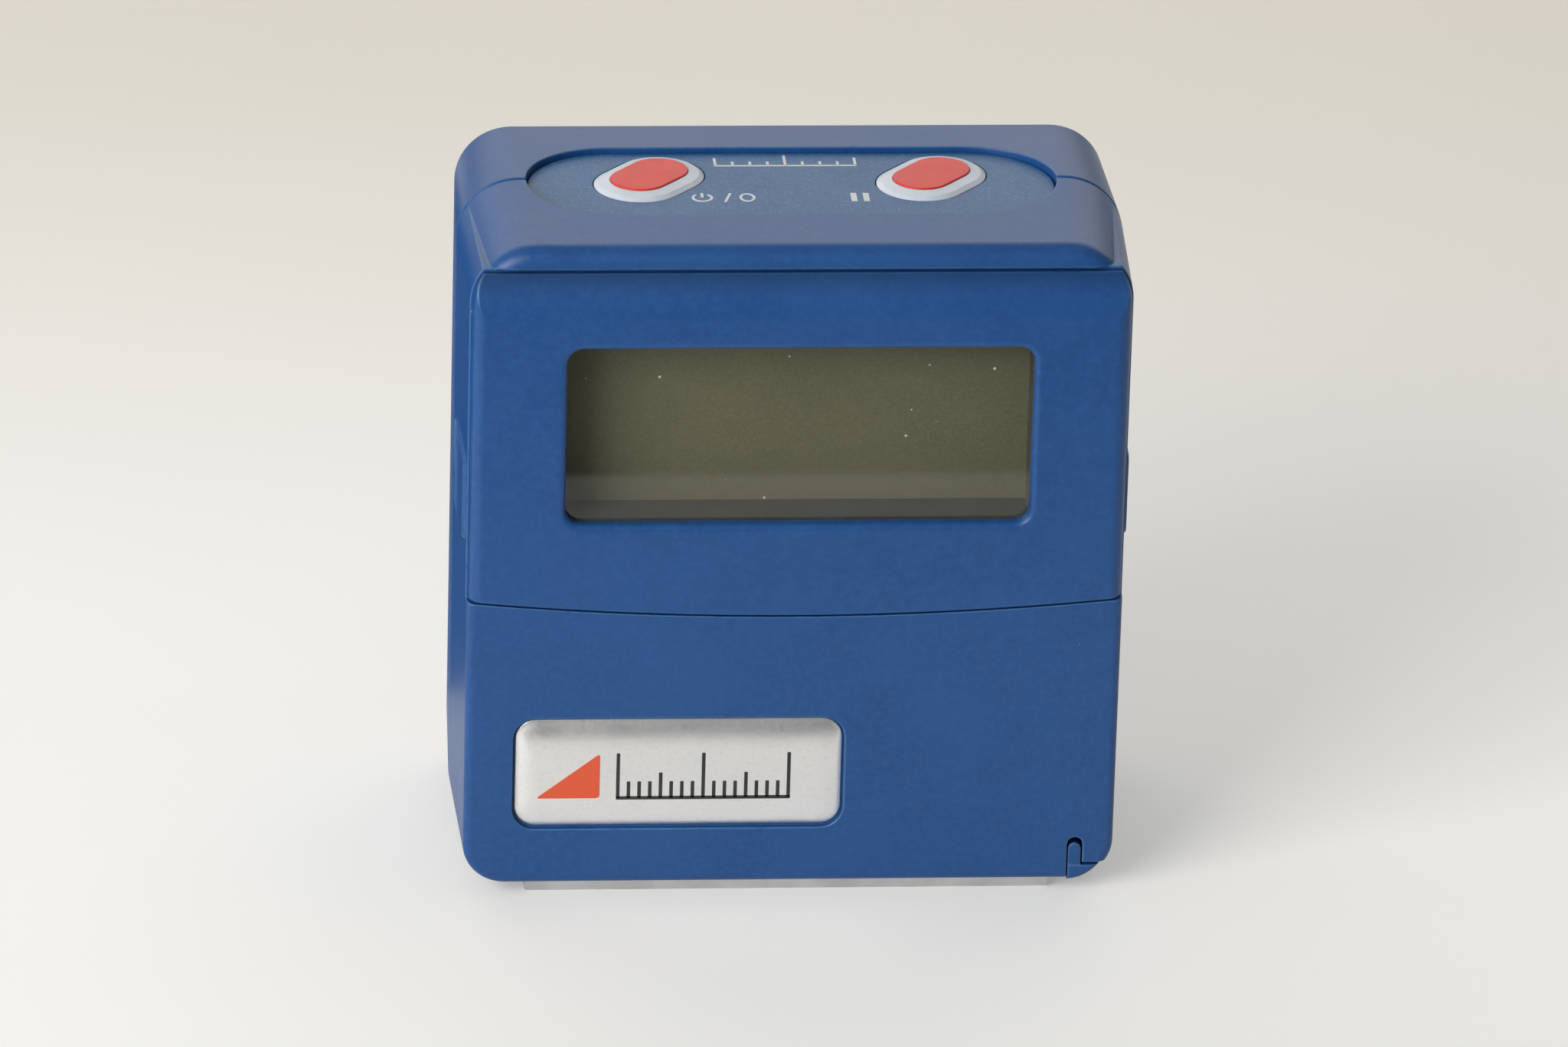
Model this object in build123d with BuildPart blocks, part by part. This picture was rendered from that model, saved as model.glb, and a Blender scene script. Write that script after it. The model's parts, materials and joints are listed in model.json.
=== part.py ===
from build123d import *
import math
import os

# Digital level box: a clamshell housing with a display bezel let into its front, a keypad in its top,
# a battery door that slides down off its right side and a magnetic base bar trapped between the shells.
# The origin is the centre of the base bar's underside. +X is the user's right, +Y the back, +Z up.
# All sizes are in millimetres.

os.makedirs("parts", exist_ok=True)

# Housing
body_width = 62.4
body_height = 64.9
body_depth = 32.7
front_depth = 17.8
base_proud = 0.8
underside_trim = 0.5
wall = 1.8
draft_angle = 2.0
bottom_corner = 4.5
top_corner = 5.8
edge_round = 0.8
seam_chamfer = 0.3
lower_panel_height = 27.9
shoulder_height = 2.8
shoulder_setback = 1.6
shoulder_narrowing = 0.7
shoulder_round = 1.6
groove_width = 0.3
frame_wall = 1.6
bay_roof_rib = 2.4
fit = 0.1

# Display bezel and its window
bezel_thickness = 2.0
bezel_step = 0.3
bezel_low_gap = 0.25
bezel_inset = 0.2
bezel_arc_rise = 1.6
bezel_side_round = 1.2
bezel_lower_round = 0.25
bezel_roll_height = 4.3
bezel_roll_depth = 1.4
window_side_margin = 9.6
window_low_margin = 9.5
window_top_margin = 7.1
window_corner = 1.5
window_round = 0.6
lens_thickness = 0.8
lens_margin = 1.5

# Raised pads on the sides of the front shell
pad_length = 10.6
pad_height = 8.4
pad_rise = 10.8
pad_setback = 3.2
pad_proud = 0.3
pad_corner = 1.0
pad_slope = 40.0

# Label plate
label_width = 31.1
label_height = 11.4
label_corner = 2.2
label_margin = 5.1
label_rise = 11.95
label_recess = 0.7
label_thickness = 0.8
label_gap = 0.2
label_round = 0.35

# Base bar and its magnets
bar_end_gap = 1.55
bar_setback = 1.7
bar_lip = 1.1
bar_flange = 1.0
bar_chamfer = 0.2
magnet_diameter = 8.0
magnet_thickness = 2.4
magnet_count = 4
magnet_pitch = 12.0
magnet_sink = 0.05

# Battery, its contacts and leads
battery_side_gap = 1.15
battery_height = 17.2
battery_corner = 2.2
battery_end_chamfer = 0.6
terminal_pitch = 12.7
terminal_height = 2.4
stud_radius = 2.8
socket_radius = 4.2
socket_bore = 3.2
contact_height = 2.0
contact_wall = 0.8
contact_gap = 0.25
bay_clearance = 0.4
shelf_thickness = 1.5
holder_thickness = 1.7
holder_inset = 7.1
holder_rib = 0.9
holder_rib_depth = 1.2
lead_radius = 0.6
lead_pitch = 4.0
lead_offset_y = 2.5
lead_bend = 6.0
lead_rise = 11.0
lead_slot_gap = 1.0

# Battery door
door_thickness = 1.9
door_height = 29.2
door_drop = 0.2
door_recess = 0.5
door_gap = 0.15
foot_height = 2.4
slot_inset = 4.2
slot_width = 1.5
slot_height = 5.0
ear_setback = 0.15
ear_drop = 0.35
tongue_depth = 0.6
tongue_thickness = 0.7
lap_height = 1.0
lap_root = 2.0
lap_thickness = 0.9
rib_count = 3
rib_pitch = 3.6
rib_height = 2.2
rib_proud = 0.15
rib_root = 0.5
rib_round = 0.5
rib_length = 15.0
rib_drop = 0.5

# Keypad
keypad_side_margin = 6.4
keypad_depth = 16.6
keypad_recess = 0.8
keypad_edge_round = 0.2
keypad_flange = 1.2
keypad_flange_thickness = 1.0
key_end_margin = 11.6
key_setback = 1.5
key_width = 8.5
key_stretch = 3.0
key_angle = 50.0
key_ring = 1.45
key_shoulder = 0.45
key_shoulder_rise = 0.3
key_rise = 0.5
key_gap = 0.12
key_skirt = 0.6
key_skirt_thickness = 0.8
key_travel = 0.4
inlay_depth = 0.4
inlay_proud = 0.15
inlay_gap = 0.03
inlay_round = 0.12
keypad_post_radius = 1.2
keypad_post_inset = 4.15
keypad_post_pitch_y = 9.0

# Display stack and circuit boards
board_thickness = 1.6
board_side_gap = 1.1
board_top_gap = 5.6
board_low_gap = 2.8
board_boss_gap = 0.4
lcd_side_border = 0.9
lcd_end_border = 1.9
lcd_plate = 1.1
lcd_ledge = 2.4
lcd_lip = 4.2
lcd_view_margin = 0.1
lcd_frame_wall = 0.8
reflector_thickness = 0.2
zebra_height = 1.8
zebra_end_gap = 1.5
board_lcd_gap = 0.9
switch_size = 6.0
switch_corner = 0.6
switch_bore_gap = 0.15
switch_floor = 0.4
switch_travel_gap = 0.1
plunger_radius = 1.55
plunger_length = 1.5
keypad_board_inset = 2.15
keypad_board_depth = 12.6
ledge_width = 2.0
ledge_thickness = 1.5
ledge_overlap = 3.0
ledge_pitch = 34.0
header_width = 10.0
header_size = 2.4
chip_size = 9.0
chip_offset_x = -12.0
chip_height = 1.5
chip_leg_count = 7
chip_leg_pitch = 1.0
chip_leg_length = 1.1
chip_leg_width = 0.45
chip_leg_thickness = 0.35
sensor_size = 7.0
sensor_height = 2.6
sensor_corner = 0.9
sensor_chamfer = 0.3
sensor_drop = 10.0
capacitor_radius = 2.0
capacitor_height = 4.2
capacitor_chamfer = 0.25
capacitor_pitch = 6.0
capacitor_offset_x = 17.0

# Screws and bosses
case_boss_radius = 2.8
case_boss_inset = 5.4
case_boss_top_gap = 7.0
case_boss_low_gap = 3.7
case_screw_radius = 1.1
case_screw_length = 16.0
case_head_radius = 1.9
case_head_height = 1.5
case_head_sink = 5.0
case_drive_width = 2.5
post_radius = 1.5
post_boss_radius = 2.4
post_inset = 4.8
post_end_gap = 2.8
board_screw_radius = 0.85
board_screw_length = 6.0
board_head_radius = 1.7
board_head_height = 1.3
board_drive_width = 2.2
screw_gap = 0.15
pilot_gap = 0.05
pilot_spare = 0.6
drive_slot = 0.5
drive_depth = 0.7

# Planes and levels that the pieces share
half_width = body_width / 2
inner_half = half_width - wall
draft = math.tan(math.radians(draft_angle))
front_y = -body_depth / 2
rear_y = body_depth / 2
parting_y = front_y + front_depth
shell_bottom = base_proud
underside_z = shell_bottom + underside_trim
shell_top = shell_bottom + body_height
floor_top = shell_bottom + wall
lower_face_y = front_y + bezel_step
lower_inner_y = lower_face_y + wall
frame_y = front_y + bezel_thickness
frame_inner_y = frame_y + frame_wall
rear_inner_y = rear_y - wall
bezel_low_z = shell_bottom + lower_panel_height
bezel_top_z = shell_top - shoulder_height
shoulder_low_z = bezel_top_z + groove_width
shoulder_y = front_y + shoulder_setback
window_width = body_width - 2 * window_side_margin
window_height = bezel_top_z - bezel_low_z - window_low_margin - window_top_margin
window_z = bezel_low_z + window_low_margin + window_height / 2
pad_z = bezel_low_z + pad_rise
pad_y = front_y + pad_setback + pad_length / 2
label_x = -half_width + label_margin + label_width / 2
label_z = shell_bottom + label_rise
bar_half_depth = body_depth / 2 - bar_setback
bar_slab_top = underside_z - fit
bar_flange_z = floor_top + fit
bar_top = bar_flange_z + bar_flange
bar_flange_half = min(-lower_inner_y, rear_inner_y) - 2 * fit
bar_neck_half = bar_flange_half - bar_lip
bay_y = (lower_inner_y + rear_inner_y) / 2
battery_low = bar_top + bay_clearance / 2
battery_top = battery_low + battery_height
battery_z = (battery_low + battery_top) / 2
shelf_z = battery_top + bay_clearance
shelf_top = shelf_z + shelf_thickness
door_top_z = shell_bottom + door_height
door_face_x = half_width - door_recess
door_inner_x = door_face_x - door_thickness
foot_top_z = shell_bottom + foot_height
slot_x = half_width - slot_inset
slot_top_z = shell_bottom + slot_height
ear_z = slot_top_z - ear_drop - slot_width / 2
ear_low_z = shell_bottom + draft * front_depth + edge_round / 2
foot_left_x = slot_x - slot_width / 2
bar_length = 2 * (foot_left_x - bar_end_gap)
holder_left = -inner_half + holder_inset
holder_right = holder_left + holder_thickness
battery_left = holder_right + bay_clearance / 2 + terminal_height
battery_right = door_inner_x - bay_clearance
battery_length = battery_right - battery_left
battery_width = rear_inner_y - lower_inner_y - 2 * battery_side_gap
holder_x = (holder_left + holder_right) / 2
holder_low = bar_top + fit
holder_top = shelf_z - fit
keypad_width = body_width - 2 * keypad_side_margin
keypad_board_width = keypad_width - 2 * keypad_board_inset
keypad_post_pitch_x = keypad_width - 2 * keypad_post_inset
key_pitch = keypad_width - 2 * key_end_margin
keypad_face_z = shell_top - keypad_recess
keypad_flange_top = shell_top - wall - fit - draft * (keypad_depth / 2 + keypad_flange)
keypad_flange_low = keypad_flange_top - keypad_flange_thickness
key_skirt_top = keypad_flange_low - fit
key_skirt_low = key_skirt_top - key_skirt_thickness
plunger_low = key_skirt_low - plunger_length
switch_top = key_skirt_low - key_travel - switch_travel_gap
switch_low = plunger_low - key_travel - switch_travel_gap - switch_floor
keypad_board_low = switch_low - board_thickness
lens_width = window_width + 2 * lens_margin
lens_height = window_height + 2 * lens_margin
lcd_front_y = frame_y + lcd_lip
lcd_ledge_y = lcd_front_y + lcd_plate
lcd_back_y = lcd_ledge_y + lcd_plate
board_front_y = lcd_back_y + board_lcd_gap
board_back_y = board_front_y + board_thickness
board_width = 2 * (inner_half - draft * (parting_y - board_front_y) - board_side_gap)
board_low_z = shelf_top + board_low_gap
board_top_z = shell_top - board_top_gap
lcd_width = window_width + 2 * lcd_side_border
lcd_height = window_height + 2 * lcd_end_border
zebra_length = lcd_width - 2 * zebra_end_gap
lcd_pocket_width = lcd_width + 2 * fit
lcd_pocket_height = lcd_height + 2 * fit
lcd_frame_width = lcd_pocket_width + 2 * lcd_frame_wall
lcd_frame_height = lcd_pocket_height + 2 * lcd_frame_wall
case_low_z = shelf_top + case_boss_low_gap
case_top_z = shell_top - case_boss_top_gap
case_seat_y = rear_y - case_head_sink
case_tip_y = case_seat_y - case_screw_length
case_spots = [
    (side * (half_width - case_boss_inset), level)
    for side in (-1, 1)
    for level in (case_low_z, case_top_z)
]
post_pitch_z = window_height - 2 * post_end_gap
post_spots = [
    (side * (half_width - post_inset), window_z + level * post_pitch_z / 2)
    for side in (-1, 1)
    for level in (-1, 1)
]
lead_spots = {
    "plus": (parting_y + lead_offset_y - lead_pitch / 2, lead_rise),
    "minus": (parting_y + lead_offset_y + lead_pitch / 2, lead_rise + lead_pitch),
}
key_y = parting_y + key_setback
key_spots = {"on": (-key_pitch / 2, key_y), "hold": (key_pitch / 2, key_y)}
far = body_width + body_height


def front_plane(y):
    return Plane.XZ.offset(-y)


rear_plane = Plane(origin=(0, rear_y, 0), x_dir=(-1, 0, 0), z_dir=(0, 1, 0))
board_plane = Plane(origin=(0, board_back_y, 0), x_dir=(-1, 0, 0), z_dir=(0, 1, 0))


# A box between two levels on each axis, added to or cut from the open part
def box_between(x_range, y_range, z_range, mode=Mode.ADD):
    ranges = (x_range, y_range, z_range)
    with Locations(tuple((low + high) / 2 for low, high in ranges)):
        Box(*[high - low for low, high in ranges], mode=mode)


# Front view of the housing, drawn inside the parting line by the inset, and narrower still at the sides
def body_outline(inset, narrowing=0):
    with BuildSketch() as outline:
        with Locations((0, shell_bottom + body_height / 2)):
            Rectangle(body_width - 2 * (inset + narrowing), body_height - 2 * inset)
        fillet(outline.vertices().group_by(Axis.Y)[0], bottom_corner - inset)
        fillet(outline.vertices().group_by(Axis.Y)[-1], top_corner - inset)
    return outline.sketch


# Front view of the band that the bezel fills: a shallow arc below, a straight edge above
def bezel_band(low_z, high_z):
    with BuildSketch() as band:
        with BuildLine():
            ends = [(side * half_width, low_z + bezel_arc_rise) for side in (-1, 1)]
            ThreePointArc(ends[0], (0, low_z), ends[1])
            Polyline(ends[1], (half_width, high_z), (-half_width, high_z), ends[0])
        make_face()
    return band.sketch


def key_outline(width):
    SlotOverall(width + key_stretch, width, rotation=key_angle)


def save(piece, name):
    piece.part.label = name
    export_step(piece.part, f"parts/{name}.step")


outer_outline = body_outline(0)
cavity_outline = body_outline(wall)
bay_outline = body_outline(wall + draft * (parting_y - frame_inner_y))
bezel_outline = body_outline(bezel_inset + draft * (parting_y - frame_y))
shoulder_outline = body_outline(draft * (parting_y - shoulder_y), shoulder_narrowing)
bezel_seat = bezel_band(bezel_low_z, shoulder_low_z)
bezel_face = bezel_band(bezel_low_z + bezel_low_gap, bezel_top_z)

# Body blank: both drafted halves of the housing, solid, with their outer edges rounded and a flat underside
with BuildPart() as body_blank:
    for reach in (parting_y - lower_face_y, parting_y - rear_y):
        with BuildSketch(front_plane(parting_y)):
            add(outer_outline)
        extrude(amount=reach, taper=draft_angle)
    fillet(body_blank.faces().sort_by(Axis.Y)[0].edges(), edge_round)
    fillet(body_blank.faces().sort_by(Axis.Y)[-1].edges(), edge_round)
    split(bisect_by=Plane.XY.offset(underside_z), keep=Keep.TOP)


# Shoulder of the front shell above the bezel, set back, drawn in at its sides and rounded over
with BuildPart() as shoulder_blank:
    with BuildSketch(front_plane(parting_y)):
        add(outer_outline)
    with BuildSketch(front_plane(shoulder_y)):
        add(shoulder_outline)
    loft(ruled=True)
    fillet(shoulder_blank.faces().sort_by(Axis.Y)[0].edges(), shoulder_round)
    split(bisect_by=Plane.XY.offset(shoulder_low_z), keep=Keep.TOP)


# Openings that run through both shells
def cut_shared_openings():
    with BuildSketch(Plane.XY.offset(keypad_flange_low)) as keypad_opening:
        with Locations((0, parting_y)):
            SlotOverall(keypad_width, keypad_depth)
    extrude(keypad_opening.sketch, amount=shell_top - keypad_flange_low, mode=Mode.SUBTRACT)
    bar_span = (-bar_length / 2 - fit, bar_length / 2 + fit)
    neck = bar_neck_half + fit
    flange = bar_flange_half + fit
    box_between(bar_span, (-neck, neck), (0, floor_top), Mode.SUBTRACT)
    box_between(bar_span, (-flange, flange), (floor_top, battery_low), Mode.SUBTRACT)
    doorway = (lower_inner_y, rear_inner_y)
    grooves = (lower_inner_y - tongue_depth - door_gap, rear_inner_y + tongue_depth + door_gap)
    groove_span = (door_inner_x - door_gap, door_inner_x + tongue_thickness + door_gap)
    lap_span = (door_inner_x - door_gap, door_inner_x + lap_thickness + door_gap)
    box_between((door_inner_x, far), doorway, (0, door_top_z), Mode.SUBTRACT)
    box_between(groove_span, grooves, (0, door_top_z), Mode.SUBTRACT)
    lap_ys = (frame_inner_y, rear_inner_y)
    lap_zs = (door_top_z, door_top_z + lap_height + door_gap)
    box_between(lap_span, lap_ys, lap_zs, Mode.SUBTRACT)
    box_between((foot_left_x, far), (front_y, rear_y), (0, foot_top_z), Mode.SUBTRACT)
    with BuildSketch(front_plane(rear_y)) as ear_slot:
        with Locations((slot_x, 0)):
            SlotOverall(2 * slot_top_z, slot_width, rotation=90)
    extrude(ear_slot.sketch, amount=body_depth, mode=Mode.SUBTRACT)
    lead_room = lead_radius + lead_slot_gap
    lead_xs = (holder_x - lead_room, holder_x + lead_room)
    lead_ys = [spot + side * lead_room for spot, _ in lead_spots.values() for side in (-1, 1)]
    box_between(lead_xs, (min(lead_ys), max(lead_ys)), (shelf_z, shelf_top), Mode.SUBTRACT)


# Battery shelf and the ribs that hold the contact holder, on one side of the parting plane
def add_bay_ribs(wall_y):
    bay = (min(wall_y, parting_y), max(wall_y, parting_y))
    rib_end = wall_y + math.copysign(holder_rib_depth, parting_y - wall_y)
    rib_reach = (min(wall_y, rib_end), max(wall_y, rib_end))
    box_between((-inner_half - fit, battery_right), bay, (shelf_z, shelf_top))
    for rib_left in (holder_left - fit - holder_rib, holder_right + fit):
        box_between((rib_left, rib_left + holder_rib), rib_reach, (floor_top, shelf_z))


# Front shell
with BuildPart() as front_shell:
    add(body_blank.part)
    split(bisect_by=front_plane(parting_y), keep=Keep.TOP)
    split(bisect_by=Plane.XY.offset(shoulder_low_z), keep=Keep.BOTTOM)
    add(shoulder_blank.part)
    chamfer(front_shell.faces().sort_by(Axis.Y)[-1].edges(), seam_chamfer)
    for side in (-1, 1):
        pad_origin = (side * (half_width - draft * (parting_y - pad_y)), pad_y, pad_z)
        pad_plane = Plane(origin=pad_origin, x_dir=(side * draft, 1, 0), z_dir=(side, -draft, 0))
        with BuildSketch(pad_plane):
            RectangleRounded(pad_length, pad_height, pad_corner)
        extrude(amount=pad_proud, taper=pad_slope)
    with BuildSketch(front_plane(parting_y)):
        add(cavity_outline)
    extrude(amount=parting_y - frame_inner_y, taper=draft_angle, mode=Mode.SUBTRACT)
    with BuildSketch(front_plane(frame_inner_y)):
        add(bay_outline)
        with Locations((0, bezel_low_z - bay_roof_rib)):
            Rectangle(body_width, far, align=(Align.CENTER, Align.MAX), mode=Mode.INTERSECT)
    extrude(amount=frame_inner_y - lower_inner_y, mode=Mode.SUBTRACT)
    with BuildSketch(front_plane(frame_y)):
        add(bezel_seat)
    extrude(amount=bezel_thickness, mode=Mode.SUBTRACT)
    add_bay_ribs(lower_inner_y)
    with BuildSketch(front_plane(parting_y)):
        with Locations(*case_spots):
            Circle(case_boss_radius)
    extrude(amount=parting_y - frame_inner_y)
    with BuildSketch(front_plane(board_front_y)):
        with Locations(*post_spots):
            Circle(post_boss_radius)
    extrude(amount=board_front_y - frame_inner_y)
    with BuildSketch(front_plane(board_front_y)):
        with Locations(*post_spots):
            Circle(post_radius + fit)
        with Locations((0, window_z)):
            Rectangle(lcd_frame_width + 2 * fit, lcd_frame_height + 2 * fit)
    extrude(amount=board_front_y - frame_y, mode=Mode.SUBTRACT)
    with BuildSketch(front_plane(parting_y)):
        with Locations(*case_spots):
            Circle(case_screw_radius + pilot_gap)
    extrude(amount=parting_y - case_tip_y + pilot_spare, mode=Mode.SUBTRACT)
    with BuildSketch(front_plane(lower_face_y)):
        with Locations((label_x, label_z)):
            RectangleRounded(label_width, label_height, label_corner)
    extrude(amount=-label_recess, mode=Mode.SUBTRACT)
    cut_shared_openings()
save(front_shell, "front_shell")

# Rear shell
with BuildPart() as rear_shell:
    add(body_blank.part)
    split(bisect_by=front_plane(parting_y), keep=Keep.BOTTOM)
    chamfer(rear_shell.faces().sort_by(Axis.Y)[0].edges(), seam_chamfer)
    with BuildSketch(front_plane(parting_y)):
        add(cavity_outline)
    extrude(amount=parting_y - rear_inner_y, taper=draft_angle, mode=Mode.SUBTRACT)
    add_bay_ribs(rear_inner_y)
    with BuildSketch(front_plane(parting_y)):
        with Locations(*case_spots):
            Circle(case_boss_radius)
    extrude(amount=parting_y - rear_inner_y)
    ledge_y = parting_y + keypad_board_depth / 2 - ledge_overlap
    for side in (-1, 1):
        ledge_x = side * ledge_pitch / 2
        box_between(
            (ledge_x - ledge_width / 2, ledge_x + ledge_width / 2),
            (ledge_y, rear_inner_y),
            (keypad_board_low - ledge_thickness, keypad_board_low),
        )
    with Locations(rear_plane):
        with Locations(*case_spots):
            CounterBoreHole(case_screw_radius + screw_gap, case_head_radius + screw_gap, case_head_sink)
    cut_shared_openings()
save(rear_shell, "rear_shell")

# Display bezel: proud of the lower panel, rolled back at its top edge, with posts that carry the board
with BuildPart() as display_bezel:
    with BuildSketch(front_plane(frame_y)):
        add(bezel_outline)
        add(bezel_face, mode=Mode.INTERSECT)
    extrude(amount=bezel_thickness)
    face_edges = display_bezel.faces().sort_by(Axis.Y)[0].edges().sort_by(Axis.Z)
    fillet(face_edges[1:-1], bezel_side_round)
    fillet(display_bezel.faces().sort_by(Axis.Y)[0].edges().sort_by(Axis.Z)[0], bezel_lower_round)
    with BuildSketch(Plane.YZ):
        with BuildLine():
            roll_start = (front_y, bezel_top_z - bezel_roll_height)
            roll_end = (front_y + bezel_roll_depth, bezel_top_z)
            TangentArc(roll_start, roll_end, tangent=(0, 1))
            Polyline(roll_end, (front_y, bezel_top_z), roll_start)
        make_face()
    extrude(amount=body_width, both=True, mode=Mode.SUBTRACT)
    with BuildSketch(front_plane(frame_y)):
        with Locations((0, window_z)):
            RectangleRounded(window_width, window_height, window_corner)
    extrude(amount=bezel_thickness, mode=Mode.SUBTRACT)
    rim_edges = display_bezel.edges().filter_by_position(Axis.Y, front_y - fit, front_y + fit)
    rim_edges = rim_edges.filter_by_position(Axis.X, -window_width / 2 - fit, window_width / 2 + fit)
    rim_edges = rim_edges.filter_by_position(
        Axis.Z, window_z - window_height / 2 - fit, window_z + window_height / 2 + fit
    )
    fillet(rim_edges, window_round)
    with BuildSketch(front_plane(frame_y)):
        with Locations((0, window_z)):
            RectangleRounded(lens_width + 2 * fit, lens_height + 2 * fit, window_corner)
    extrude(amount=lens_thickness, mode=Mode.SUBTRACT)
    with BuildSketch(front_plane(frame_y)):
        with Locations(*post_spots):
            Circle(post_radius)
    extrude(amount=frame_y - board_front_y)
    with Locations(Plane(origin=(0, board_front_y, 0), x_dir=(-1, 0, 0), z_dir=(0, 1, 0))):
        with Locations(*[(-x, z) for x, z in post_spots]):
            Hole(board_screw_radius + pilot_gap, depth=board_screw_length - board_thickness + pilot_spare)
save(display_bezel, "display_bezel")

# Display window
with BuildPart() as display_window:
    with BuildSketch(front_plane(frame_y)):
        with Locations((0, window_z)):
            RectangleRounded(lens_width, lens_height, window_corner)
    extrude(amount=lens_thickness)
save(display_window, "display_window")

# Display glass: the rear plate is shorter, which leaves contact ledges bare on the back of the front plate
with BuildPart() as lcd_cell:
    with BuildSketch(front_plane(lcd_back_y)):
        with Locations((0, window_z)):
            Rectangle(lcd_width, lcd_height - 2 * lcd_ledge)
    extrude(amount=lcd_plate)
    with BuildSketch(front_plane(lcd_ledge_y)):
        with Locations((0, window_z)):
            Rectangle(lcd_width, lcd_height)
    extrude(amount=lcd_plate)
save(lcd_cell, "lcd_cell")

with BuildPart() as lcd_reflector:
    with BuildSketch(front_plane(lcd_back_y + reflector_thickness)):
        with Locations((0, window_z)):
            Rectangle(lcd_width, lcd_height - 2 * lcd_ledge)
    extrude(amount=reflector_thickness)
save(lcd_reflector, "lcd_reflector")

# Frame that holds the display glass between the bezel and the board
with BuildPart() as lcd_frame:
    with BuildSketch(front_plane(board_front_y)):
        with Locations((0, window_z)):
            Rectangle(lcd_frame_width, lcd_frame_height)
    extrude(amount=board_front_y - frame_y)
    with BuildSketch(front_plane(board_front_y)):
        with Locations((0, window_z)):
            Rectangle(lcd_pocket_width, lcd_pocket_height)
    extrude(amount=board_front_y - lcd_front_y, mode=Mode.SUBTRACT)
    with BuildSketch(front_plane(lcd_front_y)):
        with Locations((0, window_z)):
            Rectangle(window_width + 2 * lcd_view_margin, window_height + 2 * lcd_view_margin)
    extrude(amount=lcd_lip, mode=Mode.SUBTRACT)
save(lcd_frame, "lcd_frame")

# Rubber contact strips between the ledges of the display glass and the board
with BuildPart() as zebra_strips:
    with BuildSketch(front_plane(board_front_y)):
        with Locations((0, window_z)):
            with GridLocations(0, lcd_height - lcd_ledge, 1, 2):
                Rectangle(zebra_length, zebra_height)
    extrude(amount=board_front_y - lcd_ledge_y)
save(zebra_strips, "zebra_strips")

# Main board, notched round the case bosses
with BuildPart() as main_board:
    with BuildSketch(front_plane(board_back_y)):
        with Locations((0, (board_low_z + board_top_z) / 2)):
            Rectangle(board_width, board_top_z - board_low_z)
        with Locations(*case_spots):
            Circle(case_boss_radius + board_boss_gap, mode=Mode.SUBTRACT)
        with Locations(*post_spots):
            Circle(board_screw_radius + screw_gap, mode=Mode.SUBTRACT)
    extrude(amount=board_thickness)
save(main_board, "main_board")

with BuildPart() as board_screws:
    with BuildSketch(front_plane(board_back_y)):
        with Locations(*post_spots):
            Circle(board_screw_radius)
    extrude(amount=board_screw_length)
    with BuildSketch(board_plane):
        with Locations(*post_spots):
            Circle(board_head_radius)
    extrude(amount=board_head_height)
    with BuildSketch(board_plane.offset(board_head_height)):
        with Locations(*post_spots):
            Rectangle(board_drive_width, drive_slot)
            Rectangle(drive_slot, board_drive_width)
    extrude(amount=-drive_depth, mode=Mode.SUBTRACT)
save(board_screws, "board_screws")

# Microcontroller with its legs along all sides
with BuildPart() as microcontroller:
    with BuildSketch(board_plane.offset(chip_leg_thickness)):
        with Locations((chip_offset_x, window_z)):
            Rectangle(chip_size, chip_size)
    extrude(amount=chip_height - chip_leg_thickness)
    with BuildSketch(board_plane):
        with Locations((chip_offset_x, window_z)):
            Rectangle(chip_size, chip_size)
            leg_reach = chip_size + 2 * chip_leg_length
            with GridLocations(chip_leg_pitch, 0, chip_leg_count, 1):
                Rectangle(chip_leg_width, leg_reach)
            with GridLocations(0, chip_leg_pitch, 1, chip_leg_count):
                Rectangle(leg_reach, chip_leg_width)
    extrude(amount=chip_leg_thickness)
save(microcontroller, "microcontroller")

with BuildPart() as tilt_sensor:
    with BuildSketch(board_plane):
        with Locations((0, window_z - sensor_drop)):
            RectangleRounded(sensor_size, sensor_size, sensor_corner)
    extrude(amount=sensor_height)
    chamfer(tilt_sensor.faces().sort_by(Axis.Y)[-1].edges(), sensor_chamfer)
save(tilt_sensor, "tilt_sensor")

with BuildPart() as board_capacitors:
    with BuildSketch(board_plane):
        with Locations((capacitor_offset_x, window_z)):
            with GridLocations(0, capacitor_pitch, 1, 2):
                Circle(capacitor_radius)
    extrude(amount=capacitor_height)
    chamfer(board_capacitors.faces().filter_by(Axis.Y).group_by(Axis.Y)[-1].edges(), capacitor_chamfer)
save(board_capacitors, "board_capacitors")

# Keypad panel: its face stands in the oval opening, its flange lies under the top walls
with BuildPart() as keypad_panel:
    with BuildSketch(Plane.XY.offset(keypad_flange_low)):
        with Locations((0, parting_y)):
            SlotOverall(keypad_width + 2 * keypad_flange, keypad_depth + 2 * keypad_flange)
    extrude(amount=keypad_flange_thickness)
    with BuildSketch(Plane.XY.offset(keypad_flange_top)):
        with Locations((0, parting_y)):
            SlotOverall(keypad_width - 2 * fit, keypad_depth - 2 * fit)
    extrude(amount=keypad_face_z - keypad_flange_top)
    fillet(keypad_panel.faces().sort_by(Axis.Z)[-1].edges(), keypad_edge_round)
    with BuildSketch(Plane.XY.offset(keypad_flange_low)):
        with Locations((0, parting_y)):
            with GridLocations(keypad_post_pitch_x, keypad_post_pitch_y, 2, 2):
                Circle(keypad_post_radius)
    extrude(amount=switch_low - keypad_flange_low)
    with BuildSketch(Plane.XY.offset(keypad_flange_low)):
        with Locations(*key_spots.values()):
            key_outline(key_width + 2 * key_gap)
    extrude(amount=keypad_face_z - keypad_flange_low, mode=Mode.SUBTRACT)
save(keypad_panel, "keypad_panel")

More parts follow.
